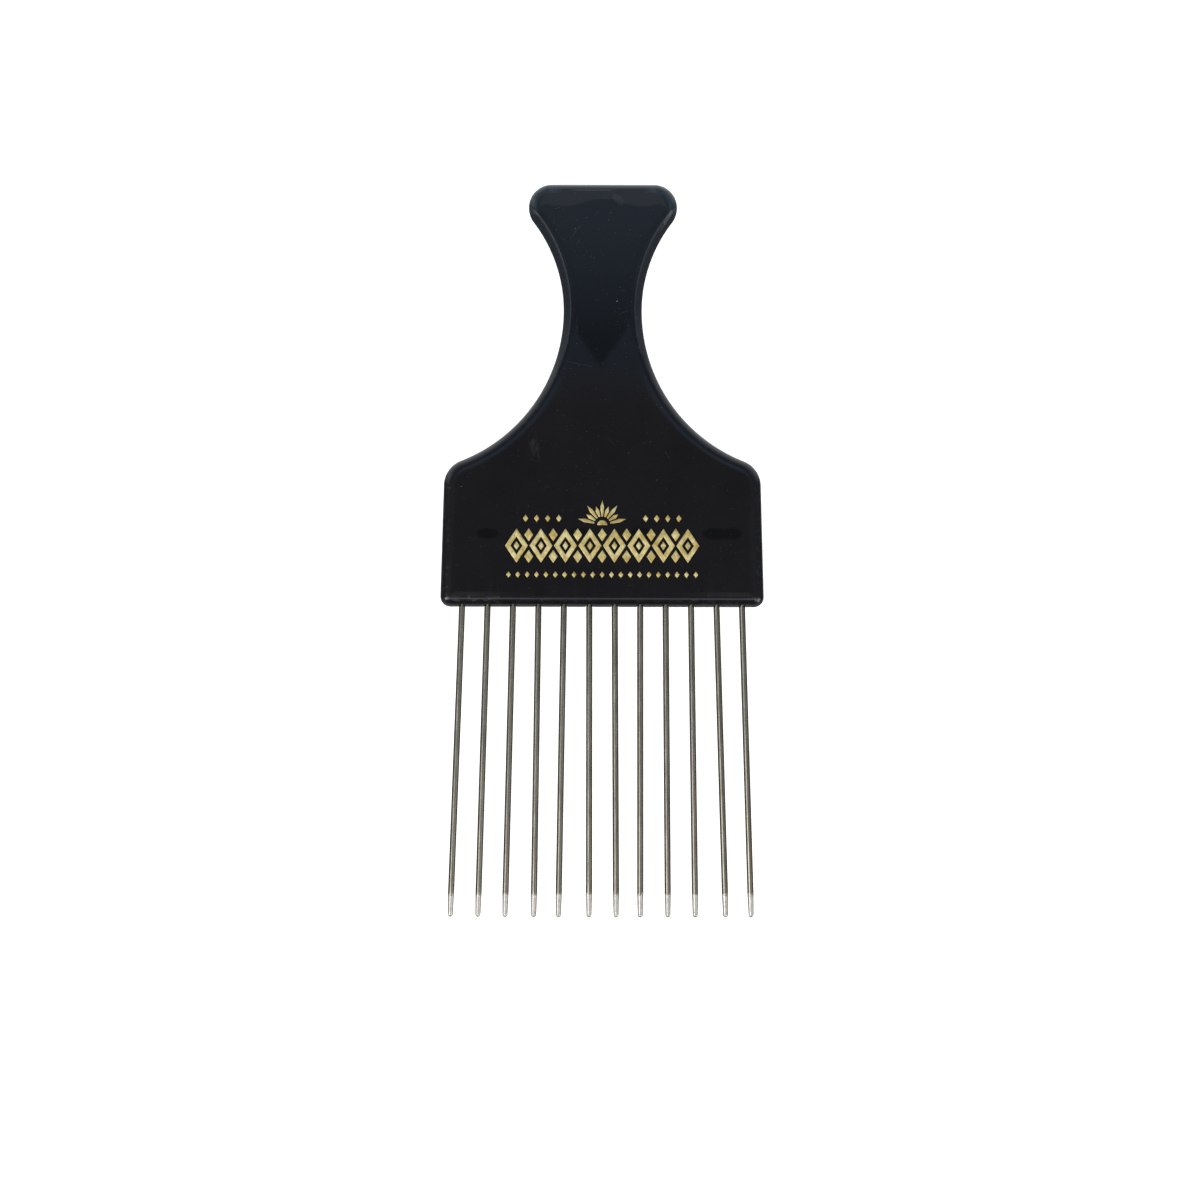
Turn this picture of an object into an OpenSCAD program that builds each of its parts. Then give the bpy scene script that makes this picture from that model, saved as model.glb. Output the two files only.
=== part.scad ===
// Afro pick: a flat moulded handle with a fan of steel wire teeth.
// X runs across the comb, Y from the tips of the teeth to the butt of the handle, and Z up
// through its thickness. The comb lies on its back, and the origin is under its middle.

/* [Handle outline] */
// Length of the handle, from the toothed edge to the butt
handle_length = 99.4; // [92:0.2:112]
// Width of the toothed edge, where the two sides would meet it
edge_width = 76.3; // [74:0.1:90]
// Angle at which each side draws in, going up from the toothed edge
side_taper = 1.65; // [0:0.05:3]
// Radius of the two corners of the toothed edge
corner_radius = 2.4; // [2:0.1:4]
// Height of the shoulders above the toothed edge, at the centre of their round
shoulder_height = 28.5; // [24:0.1:34]
// Radius of the shoulders
shoulder_radius = 6.3; // [4:0.1:9]
// Width of the neck where it is narrowest
neck_width = 18.4; // [14:0.1:24]
// Height of the narrowest place above the toothed edge
neck_height = 69.7; // [64:0.1:75]
// Width of the butt, across its two corners
butt_width = 34.9; // [30:0.1:44]
// Radius of the two corners of the butt
butt_radius = 5.4; // [4:0.1:8]

/* [Handle section] */
// Thickness of the handle
handle_thickness = 6; // [5:0.1:8]
// Radius that rounds the rim of both faces
rim_radius = 2.2; // [0.8:0.1:2.4]

/* [Teeth] */
// Number of teeth
tooth_count = 12; // [8:1:12]
// Distance from each end of the toothed edge to the nearest tooth
end_margin = 5.15; // [3.5:0.05:8]
// Diameter of the tooth wire
wire_diameter = 1.5; // [1.2:0.05:1.8]
// Length of each tooth outside the handle
tooth_reach = 73.2; // [50:0.2:90]
// Angle between neighbouring teeth, which makes them a fan
fan_step = 0.36; // [0:0.02:0.5]
// Length of the ground taper at each tip
taper_length = 5.7; // [3:0.1:9]
// Diameter of the tip, where its round end begins
tip_diameter = 1.25; // [0.9:0.05:1.4]

/* [Roots of the teeth] */
// Length of wire inside the handle
buried_length = 17; // [12:0.5:22]
// Length of the flattened anchor at the buried end
anchor_length = 4; // [3:0.1:6]
// Width of the anchor
anchor_width = 2.3; // [2:0.05:2.8]
// Thickness of the anchor
anchor_thickness = 0.9; // [0.7:0.05:1.1]
// Space between the wire and the plastic round it
socket_clearance = 0.02; // [0.01:0.01:0.05]
// Width of the scallop that the mould's clamp leaves round each root
scallop_width = 1.9; // [1.9:0.05:2.4]
// Depth of the scallop
scallop_depth = 0.6; // [0.3:0.05:0.9]

/* [Hidden] */
// Each wire's own lean from an even fan, in degrees, as use has bent it
OWN_LEAN = [-0.1, -0.05, -0.1, 0.15, -0.35, 0.25, 0.2, -0.4, -0.35, -0.35, 0.2, -0.15];

HANDLE_COLOUR = [0.10, 0.11, 0.13];
WIRE_COLOUR = [0.62, 0.62, 0.58];

// Most that one facet may turn on a rounded corner and on a long arc, in degrees
CORNER_STEP = 9;
LONG_STEP = 4.5;
// Rings of points round the rim of each face
RIM_STEPS = 6;
// Facets round the end of a tip
TIP_STEPS = 4;
// Smallest radius that an inset leaves on the corners of the toothed edge
LEAST_CORNER = 0.05;
// Amount by which a cutter passes the surface that it opens
PAST = 1;

mid_height = handle_thickness / 2;
wire_radius = wire_diameter / 2;
scallop_radius = scallop_width / 2;
tooth_pitch = (edge_width - 2 * end_margin) / (tooth_count - 1);
// The comb's middle lies halfway between the butt and the tips
toothed_edge_y = (tooth_reach - handle_length) / 2;

function tooth_name(i) = str("tooth_", i < 9 ? "0" : "", i + 1);
function tooth_x(i) = (i - (tooth_count - 1) / 2) * tooth_pitch;
function tooth_lean(i) = (i - (tooth_count - 1) / 2) * fan_step + OWN_LEAN[i];

// A point at a distance inside the right-hand side and at a height above the toothed edge
function inside_side(distance, height) =
    [edge_width / 2 - height * tan(side_taper) - distance / cos(side_taper), height];

// Radius of the arc that is level with the axis at the neck and touches a corner's circle
function waist_radius(corner, radius) =
    let (across = neck_width / 2 - corner.x, along = neck_height - corner.y)
    (across * across + along * along - radius * radius) / (2 * (radius - across));

// Direction from one point to another, in degrees
function bearing(from, to) = atan2(to.y - from.y, to.x - from.x);

// Points along an arc, with facets that turn no more than the step
function arc(centre, radius, start, end, step) =
    let (count = ceil(abs(end - start) / step))
    [for (k = [0 : count])
        let (angle = start + (end - start) * k / count)
        centre + radius * [cos(angle), sin(angle)]];

// Right half of the handle's outline, drawn in by an inset. Every arc keeps its centre and its
// angles, so an outline at any inset has the same number of points in the same order. Only the
// corner of the toothed edge moves in, where the inset would use up its radius.
function half_outline(inset) =
    let (
        corner_reach = max(corner_radius, inset + LEAST_CORNER),
        corner = inside_side(corner_reach, corner_reach),
        shoulder = inside_side(shoulder_radius, shoulder_height),
        butt = [butt_width / 2 - butt_radius, handle_length - butt_radius],
        lower_radius = waist_radius(shoulder, shoulder_radius),
        upper_radius = waist_radius(butt, butt_radius),
        lower = [neck_width / 2 + lower_radius, neck_height],
        upper = [neck_width / 2 + upper_radius, neck_height],
        lower_turn = bearing(shoulder, lower),
        upper_turn = bearing(butt, upper)
    )
    concat(
        arc(corner, corner_reach - inset, -90, side_taper, CORNER_STEP),
        arc(shoulder, shoulder_radius - inset, side_taper, lower_turn, CORNER_STEP),
        arc(lower, lower_radius + inset, lower_turn + 180 - LONG_STEP, 180, LONG_STEP),
        arc(upper, upper_radius + inset, 180 - LONG_STEP, upper_turn + 180 + LONG_STEP, LONG_STEP),
        arc(butt, butt_radius - inset, upper_turn, 90, CORNER_STEP)
    );

// Whole outline, counterclockwise from the right-hand corner of the toothed edge
function outline(inset) =
    let (right = half_outline(inset), last = len(right) - 1)
    concat(right, [for (k = [last : -1 : 0]) [-right[k].x, right[k].y]]);

// Insets and heights of the rings that turn the rim from the back face up to the front
RIM = [
    for (k = [0 : RIM_STEPS])
        let (angle = 90 * k / RIM_STEPS)
        [rim_radius * (1 - sin(angle)), rim_radius * (1 - cos(angle))],
    for (k = [RIM_STEPS : -1 : 0])
        let (angle = 90 * k / RIM_STEPS)
        [rim_radius * (1 - sin(angle)), handle_thickness - rim_radius * (1 - cos(angle))]
];

// The plate is a loft through the rings of the rim, closed by its two flat faces
module handle_plate() {
    rings = [for (step = RIM) [for (p = outline(step[0])) [p.x, p.y, step[1]]]];
    count = len(rings[0]);
    points = [for (ring = rings) each ring];
    walls = [
        for (r = [0 : len(rings) - 2], k = [0 : count - 1])
            let (a = r * count + k, b = r * count + (k + 1) % count)
            each [[a, a + count, b], [b, a + count, b + count]]
    ];
    // Each strip of a flat face joins two neighbouring points to their mirror images
    strips = [for (k = [0 : count / 2 - 2]) [k, k + 1, count - 2 - k, count - 1 - k]];
    back = [for (s = strips) each [[s[0], s[1], s[2]], [s[0], s[2], s[3]]]];
    top = (len(rings) - 1) * count;
    front = [for (f = back) [top + f[0], top + f[2], top + f[1]]];
    polyhedron(points, concat(walls, back, front), convexity = 6);
}

// Places a tooth's frame: its root is on the toothed edge, and -Y is its own axis
module at_tooth(i) {
    translate([tooth_x(i), toothed_edge_y, mid_height])
        rotate([0, 0, tooth_lean(i)])
            children();
}

// Straight round bar along the tooth's axis, from a start inside the handle to an end outside
module bar(radius, inside, outside) {
    translate([0, inside, 0])
        rotate([90, 0, 0])
            cylinder(r = radius, h = inside + outside, $fn = 48);
}

// Flattened buried end of the wire, or the pocket for it where grow is the clearance
module anchor(grow) {
    neck = wire_radius + grow;
    wide = anchor_width / 2 + grow;
    low = buried_length - anchor_length - grow;
    high = buried_length + grow;
    bevel = (anchor_width - wire_diameter) / 2;
    thick = anchor_thickness + 2 * grow;
    translate([0, 0, -thick / 2])
        linear_extrude(thick)
            polygon([
                [-neck, low], [neck, low], [wide, low + bevel], [wide, high - bevel],
                [neck, high], [-neck, high], [-wide, high - bevel], [-wide, low + bevel]
            ]);
}

// One tooth: a wire with an anchor inside the handle and a ground, round-nosed tip
module tooth(i) {
    tip_radius = tip_diameter / 2;
    round_start = tooth_reach - tip_radius;
    anchor_start = buried_length - anchor_length / 2;
    nose = [
        for (k = [0 : TIP_STEPS])
            let (angle = 90 * k / TIP_STEPS)
            [tip_radius * cos(angle), round_start + tip_radius * sin(angle)]
    ];
    color(WIRE_COLOUR)
        at_tooth(i) {
            rotate([90, 0, 0])
                rotate_extrude($fn = 48)
                    polygon(concat(
                        [[0, -anchor_start], [wire_radius, -anchor_start],
                            [wire_radius, tooth_reach - taper_length]],
                        nose
                    ));
            anchor(0);
        }
}

module handle() {
    color(HANDLE_COLOUR)
        difference() {
            translate([0, toothed_edge_y, 0]) handle_plate();
            for (i = [0 : tooth_count - 1])
                at_tooth(i) {
                    bar(wire_radius + socket_clearance,
                        buried_length - anchor_length / 2 + socket_clearance, PAST);
                    anchor(socket_clearance);
                    translate([0, scallop_depth - scallop_radius, -mid_height - PAST])
                        cylinder(r = scallop_radius, h = handle_thickness + 2 * PAST, $fn = 48);
                }
        }
}

handle();
for (i = [0 : tooth_count - 1])
    tooth(i);
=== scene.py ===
"""Looks of an afro pick: a glossy moulded handle, twelve wire teeth and a stamped foil ornament."""
import math

import bmesh
import bpy
from mathutils import Matrix, Vector


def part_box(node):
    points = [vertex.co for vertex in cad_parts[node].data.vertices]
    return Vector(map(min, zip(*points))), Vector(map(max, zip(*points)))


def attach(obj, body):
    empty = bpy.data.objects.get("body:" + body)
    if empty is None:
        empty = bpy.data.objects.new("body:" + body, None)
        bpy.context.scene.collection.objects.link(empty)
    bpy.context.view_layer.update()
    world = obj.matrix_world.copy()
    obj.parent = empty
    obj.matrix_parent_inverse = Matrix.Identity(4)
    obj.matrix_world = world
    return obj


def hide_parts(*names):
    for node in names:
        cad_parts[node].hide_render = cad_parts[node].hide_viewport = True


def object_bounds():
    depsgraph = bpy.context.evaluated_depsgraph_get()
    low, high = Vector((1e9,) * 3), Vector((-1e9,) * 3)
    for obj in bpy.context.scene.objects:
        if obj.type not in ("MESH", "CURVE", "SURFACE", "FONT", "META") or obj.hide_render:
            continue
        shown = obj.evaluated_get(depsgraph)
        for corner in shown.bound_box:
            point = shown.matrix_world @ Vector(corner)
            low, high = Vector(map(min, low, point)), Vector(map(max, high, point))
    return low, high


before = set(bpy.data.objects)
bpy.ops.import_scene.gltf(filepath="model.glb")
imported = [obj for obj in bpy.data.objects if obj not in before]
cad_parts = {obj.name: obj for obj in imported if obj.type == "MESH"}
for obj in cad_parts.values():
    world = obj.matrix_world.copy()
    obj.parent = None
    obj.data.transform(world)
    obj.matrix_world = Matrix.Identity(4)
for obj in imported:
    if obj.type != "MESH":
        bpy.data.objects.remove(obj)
cad_low, cad_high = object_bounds()

MM = 0.001

# The handle's box gives its length, its thickness and the place of its toothed edge
handle_low, handle_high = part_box("handle")
HANDLE_LENGTH = handle_high.y - handle_low.y
THICKNESS = handle_high.z - handle_low.z
TOOTHED_EDGE = handle_low.y
MIDDLE = (handle_low.z + handle_high.z) / 2
FACE = handle_high.z

# Outline of the handle
EDGE_WIDTH = 76.3 * MM
SIDE_TAPER = math.radians(1.65)
CORNER_RADIUS = 2.4 * MM
SHOULDER_HEIGHT = 28.5 * MM
SHOULDER_RADIUS = 6.3 * MM
NECK_WIDTH = 18.4 * MM
NECK_HEIGHT = 69.7 * MM
BUTT_WIDTH = 34.9 * MM
BUTT_RADIUS = 5.4 * MM
RIM_RADIUS = 2.2 * MM

# Teeth
TEETH = 12
END_MARGIN = 5.15 * MM
FAN_STEP = 0.36
# Each wire's own lean from an even fan, in degrees, as use has bent it
OWN_LEAN = (-0.1, -0.05, -0.1, 0.15, -0.35, 0.25, 0.2, -0.4, -0.35, -0.35, 0.2, -0.15)
WIRE_RADIUS = 0.75 * MM
TIP_RADIUS = 0.625 * MM
TAPER = 5.7 * MM
BURIED = 17 * MM
ANCHOR_LENGTH = 4 * MM
ANCHOR_WIDTH = 2.3 * MM
ANCHOR_THICKNESS = 0.9 * MM
SOCKET_CLEARANCE = 0.02 * MM
SCALLOP_RADIUS = 0.95 * MM
SCALLOP_DEPTH = 0.6 * MM
# Turn of the scallop cutters, in radians, which keeps their facets off the edges of the handle
SCALLOP_TURN = 0.03
REACH = TOOTHED_EDGE - cad_low.y

# Amount by which a cutter passes the surface that it opens
PAST = 1 * MM


# Values and links of shader maths

class Value:
    """A socket of a material's tree, on which sums are written as plain Python."""

    def __init__(self, make, socket):
        self.make = make
        self.socket = socket

    def _maths(self, operation, *others):
        return self.make("ShaderNodeMath", {"operation": operation}, *others)

    def __add__(self, other):
        return self._maths("ADD", self, other)

    def __sub__(self, other):
        return self._maths("SUBTRACT", self, other)

    def __mul__(self, other):
        return self._maths("MULTIPLY", self, other)

    def __rsub__(self, other):
        return self._maths("SUBTRACT", other, self)

    def power(self, exponent):
        return self._maths("POWER", self, exponent)

    def below(self, limit):
        return self._maths("LESS_THAN", self, limit)

    def size(self):
        return self._maths("ABSOLUTE", self)

    def most(self, other):
        return self._maths("MAXIMUM", self, other)

    def least(self, other):
        return self._maths("MINIMUM", self, other)

    def ramp(self, low, high, to_low=0.0, to_high=1.0):
        """Runs smoothly from one value to another as this value goes from low to high."""
        settings = {"interpolation_type": "SMOOTHSTEP", "clamp": True}
        return self.make("ShaderNodeMapRange", settings, self, low, high, to_low, to_high)


class Finish:
    """A material or world under construction: makes its nodes and joins them."""

    def __init__(self, owner):
        owner.use_nodes = True
        self.owner = owner
        self.tree = owner.node_tree
        self.tree.nodes.clear()

    def __call__(self, kind, settings, *inputs, out=0, **named):
        """Adds a node, sets it up, feeds its inputs in order or by name, and gives one output."""
        node = self.tree.nodes.new(kind)
        for key, value in settings.items():
            setattr(node, key, value)
        for socket, value in zip(node.inputs, inputs):
            self.feed(socket, value)
        for name, value in named.items():
            self.feed(node.inputs[name.replace("_", " ")], value)
        return Value(self, node.outputs[out]) if node.outputs else None

    def feed(self, socket, value):
        if isinstance(value, Value):
            self.tree.links.new(value.socket, socket)
        elif value is not None:
            socket.default_value = value

    def place(self, centre=(0, 0, 0), turn=0.0, stretch=(1, 1, 1)):
        """The piece's own coordinates, in metres, about a centre, turned about Z and stretched."""
        here = self("ShaderNodeTexCoord", {}, out="Object")
        settings = {"vector_type": "TEXTURE"}
        return self("ShaderNodeMapping", settings, here, centre, (0, 0, turn), stretch)

    def part(self, vector, axis):
        return self("ShaderNodeSeparateXYZ", {}, vector, out=axis)

    def noise(self, where, scale, detail=2.0, roughness=0.5):
        return self("ShaderNodeTexNoise", {}, where, None, scale, detail, roughness)

    def mix(self, factor, first, second):
        """Mixes two colours by a factor."""
        node = self.tree.nodes.new("ShaderNodeMix")
        node.data_type = "RGBA"
        self.feed(node.inputs[0], factor)
        self.feed(node.inputs[6], first)
        self.feed(node.inputs[7], second)
        return Value(self, node.outputs[2])

    def bump(self, height, distance):
        return self("ShaderNodeBump", {}, Height=height, Distance=distance, Strength=1.0)

    def surface(self, **sockets):
        """Ends the material in one Principled shader."""
        shader = self("ShaderNodeBsdfPrincipled", {}, **sockets)
        self("ShaderNodeOutputMaterial", {}, shader)
        return self.owner


def finish(name):
    return Finish(bpy.data.materials.new(name))


def colour(red, green, blue):
    return (red, green, blue, 1.0)


# Finishes

def face_point(x, height):
    """A point of the handle, from its place beside the axis and above the toothed edge, in mm."""
    return Vector((x * MM, TOOTHED_EDGE + height * MM, 0))


def oval(m, x, height, half_length, half_width, turn, soft):
    """A mask that is 1 inside an oval on the face and fades out at its edge."""
    stretch = (half_length * MM, half_width * MM, 1)
    where = m.place(face_point(x, height), turn, stretch)
    across = m.part(where, 0)
    along = m.part(where, 1)
    reach = (across * across + along * along).power(0.5)
    return reach.ramp(1 + soft, 1 - soft)


# Hairline scratches on the face: both ends, in mm from the axis and above the toothed edge, and
# strength
HAIRLINES = (
    (-9.2, 57.8, -1.3, 56.2, 0.8), (3.5, 68.6, 6.4, 69.8, 0.8), (-7.6, 86.6, -4.8, 90.2, 0.9),
    (0.7, 40.5, 3.3, 37.5, 0.5), (14.6, 36.8, 15.9, 34.6, 0.8), (-2.4, 91.5, -0.6, 93.4, 0.5),
    (-6.3, 84.8, -5.2, 86.6, 0.8), (-10.3, 86.9, -8.6, 86.0, 0.5), (8.7, 38.2, 11.2, 38.9, 0.3),
    (-8.3, 97.9, 3.4, 97.9, 3.2),
)

# Places on the face, as ovals: middle, in mm from the axis and above the toothed edge, half length
# and half width in mm, turn, and softness of the edge
SMUDGE = (3.6, 95.7, 1.6, 0.9, -0.75, 0.15)
RUB = (-16.3, 38.8, 0.9, 4.2, 0.25, 0.7)
# A painted highlight streak on the right flank of the butt
FLANK_HIGHLIGHT = (15.1, 91.0, 2.9, 0.42, 1.05, 0.5)
# Scuffed ovals along the toothed edge, brightened as a painted highlight
SCUFFED_LEFT_HIGHLIGHT = (-32.0, 2.0, 8.5, 0.6, 0.0, 0.6)
SCUFFED_RIGHT_HIGHLIGHT = (36.0, 2.0, 3.0, 0.6, 0.0, 0.6)
# Corners of the butt where a blue sheen is painted
LEFT_CORNER_SHEEN = (-15.5, 97.0, 5.0, 4.0, 0.0, 0.3)
RIGHT_CORNER_SHEEN = (15.5, 97.0, 5.0, 4.0, 0.0, 0.3)
# Ovals where the face is painted darker, as dark reflections
DARK_REFLECTIONS = (
    (-26.9, 17.2, 2.5, 1.25, 0.0, 0.25), (26.6, 17.2, 3.0, 1.35, 0.0, 0.3),
    (30.4, 17.2, 2.4, 1.35, 0.0, 0.3), (-5.3, 17.2, 3.0, 1.35, 0.0, 0.3),
    (8.9, 17.2, 2.6, 1.35, 0.0, 0.3),
)

# Dust: scale of the cells, radius of a speck in its cell, share of the cells, and strength
DUST = ((1800.0, 0.08, 1.0, 0.17), (800.0, 0.055, 1.0, 0.11), (300.0, 0.021, 0.16, 0.9))


def hairline(m, x1, h1, x2, h2):
    """A mask along one scratch, 0.1 mm wide, with faint ends."""
    length = math.hypot(x2 - x1, h2 - h1)
    turn = math.atan2(h2 - h1, x2 - x1)
    middle = face_point((x1 + x2) / 2, (h1 + h2) / 2)
    where = m.place(middle, turn, (length / 2 * MM, 0.06 * MM, 1))
    along = m.part(where, 0).size().ramp(1.0, 0.5)
    across = m.part(where, 1).size().ramp(1.3, 0.5)
    return along * across


def scratches(m):
    """All the hairlines, each as light as its strength."""
    marks = 0.0
    for x1, h1, x2, h2, strength in HAIRLINES:
        marks = hairline(m, x1, h1, x2, h2) * (0.025 * strength) + marks
    return marks


def dust(m, where):
    """Specks of three sizes, each as bright as the draw of its own cell."""
    cells = {"feature": "F1"}
    specks = 0.0
    for scale, radius, share, strength in DUST:
        near = m("ShaderNodeTexVoronoi", cells, where, None, scale).below(radius)
        draw = m.part(m("ShaderNodeTexVoronoi", cells, where, None, scale, out="Color"), 0)
        bright = draw.ramp(share, 0.0)
        specks = near * bright * bright * strength + specks
    return specks


def inside_flank(m):
    """Distance inside the nearer flank of the waist, whose two arcs meet at the neck."""
    lower, upper = waist()[2:]
    where = m.place(face_point(0, NECK_HEIGHT / MM))
    along = m.part(where, 1)
    radius = along.ramp(-1 * MM, 1 * MM, lower, upper)
    across = radius + NECK_WIDTH / 2 - m.part(where, 0).size()
    return (across * across + along * along).power(0.5) - radius


def handle_plastic():
    """Near-black polished plastic with a thin veil, scratches, dust and worn rims, and painted
    highlights, dark reflections and a blue sheen.
    """
    m = finish("handle_plastic")
    where = m.place()
    height = m.part(where, 1) - TOOTHED_EDGE
    neck = height.ramp(48 * MM, 60 * MM)
    facing = m.part(m("ShaderNodeNewGeometry", {}, out="Normal"), 2).size()
    rim = facing.ramp(0.9995, 0.965)
    haze = m.noise(where, 90, 3.0, 0.6)
    grain = m.noise(where, 900, 3.0, 0.65)
    scuff = m.noise(m.place(stretch=(2, 1, 1)), 1100, 4.0, 0.7).ramp(0.45, 0.75)

    # The veil, thinner on the neck, and taken off in ovals that paint dark reflections on the face
    dark_reflection = 0.0
    for mark in DARK_REFLECTIONS:
        dark_reflection = oval(m, *mark).most(dark_reflection)
    film = haze.ramp(0.3, 0.7, 0.0044, 0.0060)
    film = film * (1 - dark_reflection * 0.97) * (1 - neck * 0.7) * (1 - rim * 0.5)
    smears = m.noise(m.place(stretch=(1, 9, 1)), 330, 2.0, 0.5).ramp(0.5, 0.75)
    smears = smears * height.ramp(11 * MM, 1 * MM)
    ends = m.part(where, 0).size().ramp(14 * MM, 30 * MM, 0.3, 1.0)
    film = film + grain.ramp(0.5, 0.8) * 0.0008 + smears * 0.003
    # Scuffs along the toothed edge, lighter towards its ends as a painted highlight
    film = film + scuff * height.ramp(4 * MM, 1.5 * MM) * ends * 0.010
    tone = m.mix(film, colour(0.0004, 0.0005, 0.0006), colour(1.0, 0.80, 0.84))

    # Light marks: scratches, dust, worn places, a smudge, and painted highlights on the right flank
    # and along the toothed edge
    specks = dust(m, where) * (neck * 0.4 + 0.6)
    marks = scratches(m)
    ragged = m.noise(m.place(stretch=(1, 2.5, 1)), 900, 3.0, 0.6).ramp(0.45, 0.6)
    # The rub is a worn place; the flank oval is a painted highlight
    worn = (oval(m, *RUB) + oval(m, *FLANK_HIGHLIGHT) * 5.0) * ragged
    # Scuffs by the toothed edge, brightened in two ovals as a painted highlight
    worn = worn + (oval(m, *SCUFFED_LEFT_HIGHLIGHT) * 3.0 + oval(m, *SCUFFED_RIGHT_HIGHLIGHT)) * scuff
    smudge = oval(m, *SMUDGE)
    light = marks + specks + worn * 0.012 + smudge * 0.009 + scuff * rim * 0.006
    tone = m.mix(light, tone, colour(0.97, 1.0, 1.0))

    # A painted blue sheen inside the flanks of the butt and round its corners: a blue reflection
    # put into the colour
    flank = inside_flank(m)
    sheen = flank.ramp(0.8 * MM, 1.5 * MM) * flank.ramp(3.4 * MM, 1.5 * MM)
    sheen = sheen * height.ramp(66 * MM, 86 * MM) * height.ramp(94 * MM, 90 * MM)
    brink = facing.ramp(0.9999, 0.996) * facing.ramp(0.93, 0.975)
    brink = brink * height.ramp(98.2 * MM, 97 * MM)
    corners = oval(m, *LEFT_CORNER_SHEEN) + oval(m, *RIGHT_CORNER_SHEEN)
    # Painted blue reflection, mixed into the colour
    blue = sheen * 0.009 + corners * (rim * 0.026 + brink * 0.018)
    tone = m.mix(blue, tone, colour(0.5, 0.8, 1.0))

    # The rims of the waist, dulled where the comb is held, with a painted blue reflection in their
    # colour
    held = height.ramp(50 * MM, 72 * MM) * height.ramp(96 * MM, 91 * MM)
    rubbed_and_blue_sheen = held * flank.ramp(2.1 * MM, 1.3 * MM)
    # Painted blue reflection on the held rims; their roughness is real wear
    tone = m.mix(rubbed_and_blue_sheen * 0.006, tone, colour(0.0, 0.35, 1.0))
    rough = haze.ramp(0.35, 0.7, 0.010, 0.016) + marks * 2.0 + rubbed_and_blue_sheen * 0.85 + rim * scuff * 0.3
    return m.surface(
        Base_Color=tone,
        Roughness=rough,
        Normal=m.bump(grain + specks * 2.0, 0.0001 * MM),
        IOR=1.5,
    )


def tooth_steel():
    """Drawn wire, streaked along its length, with a coarse bright grind at the tip."""
    m = finish("tooth_steel")
    where = m.place()
    along = m.place(stretch=(1, 25, 1))
    streaks = m.noise(along, 4200, 3.0, 0.65)
    broad = m.noise(along, 1100, 2.0, 0.5)
    mottle = m.noise(m.place(stretch=(1, 2, 1)), 3800, 3.0, 0.7)
    pits = m.noise(where, 2600, 2.0, 0.6).ramp(0.62, 0.72)
    ragged = m.noise(m.place(stretch=(1, 2.5, 1)), 2400, 3.0, 0.7)
    tip_line = cad_low.y + TAPER - 0.2 * MM
    depth = m.part(where, 1) + (ragged - 0.5) * (3.0 * MM)
    ground = depth.ramp(tip_line + 0.25 * MM, tip_line - 0.25 * MM)
    grind = m.noise(m.place(turn=0.5), 5200, 3.0, 0.75)
    wear = m.part(where, 1).ramp(cad_low.y + 60 * MM, cad_low.y + 5 * MM)
    wire = m.mix(streaks.ramp(0.3, 0.75), colour(0.168, 0.151, 0.113), colour(0.330, 0.303, 0.239))
    wire = m.mix(mottle.ramp(0.5, 0.75) * 0.3, wire, colour(0.445, 0.41, 0.335))
    wire = m.mix(pits * 0.5, wire, colour(0.043, 0.038, 0.029))
    wire = m.mix(wear * 0.05, wire, colour(0.58, 0.53, 0.44))
    bright = m.mix(grind.ramp(0.3, 0.7), colour(0.29, 0.27, 0.23), colour(0.66, 0.615, 0.545))
    rough = broad.ramp(0.3, 0.7, 0.19, 0.27) - wear * 0.10
    height = (streaks * 0.35 + mottle * 0.35) * (1 - ground) + grind * ground * 2.6
    return m.surface(
        Base_Color=m.mix(ground, wire, bright),
        Metallic=1.0 - ground * 0.3,
        Roughness=rough + ground * 0.14,
        Normal=m.bump(height, 0.006 * MM),
    )


def stamped_foil():
    """Pale gold foil pressed into the plastic, a little crinkled, and rubbed through in places."""
    m = finish("stamped_foil")
    where = m.place()
    crinkle = m.noise(where, 1500, 4.0, 0.65)
    cloud = m.noise(where, 420, 3.0, 0.6)
    fleck = m.noise(m.place(turn=0.6, stretch=(1, 3, 1)), 2600, 3.0, 0.7)
    worn = m.noise(where, 1300, 4.0, 0.75).ramp(0.60, 0.68)
    gold = m.mix(cloud.ramp(0.35, 0.65), colour(0.635, 0.463, 0.133), colour(0.87, 0.725, 0.337))
    gold = m.mix(fleck.ramp(0.45, 0.75) * 0.6, gold, colour(0.19, 0.13, 0.048))
    return m.surface(
        Base_Color=m.mix(worn * 0.75, gold, colour(0.05, 0.043, 0.025)),
        Metallic=0.75 - worn * 0.6,
        Roughness=crinkle.ramp(0.3, 0.7, 0.38, 0.5),
        Normal=m.bump(crinkle, 0.018 * MM),
    )


# The handle

# How finely the shell is divided: the steps of its arcs in degrees and of its straight sides in
# metres, the rings that turn each rim, and the columns across each face
CORNER_STEP = 6
ROUND_STEP = 3
LONG_STEP = 1.2
SIDE_STEP = 1.2 * MM
RIM_STEPS = 12
COLUMNS = 60
# Facets round a socket and a scallop
BORE_FACETS = 40
SCALLOP_FACETS = 48
# How far inside the edge of a flat face its own rings lie
FACE_RINGS = (1.4 * MM, 0.9 * MM, 0.5 * MM, 0.2 * MM)
# Smallest radius that an inset leaves on the corners of the toothed edge
LEAST_CORNER = 0.05 * MM

# Unevenness that moulding leaves in a face, with its depths in mm: waves all over it, a roll
# along the butt, and a fall towards the rim
WAVE_DEPTH = 0.003
WAVE_ALONG = 6.5 * MM
WAVE_ACROSS = 9 * MM
ROLL_DEPTH = 0.0065
ROLL_CHANGE = 0.0045
ROLL_REACH = 5 * MM
ROLL_PITCH = 17.7 * MM
FALL_DEPTH = 0.02
FALL_REACH = 0.4 * MM


def arc(centre, radius, start, end, step):
    """Points along an arc. Angles are in degrees."""
    count = math.ceil(abs(end - start) / step)
    made = []
    for k in range(count + 1):
        angle = math.radians(start + (end - start) * k / count)
        made.append(centre + radius * Vector((math.cos(angle), math.sin(angle))))
    return made


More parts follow.
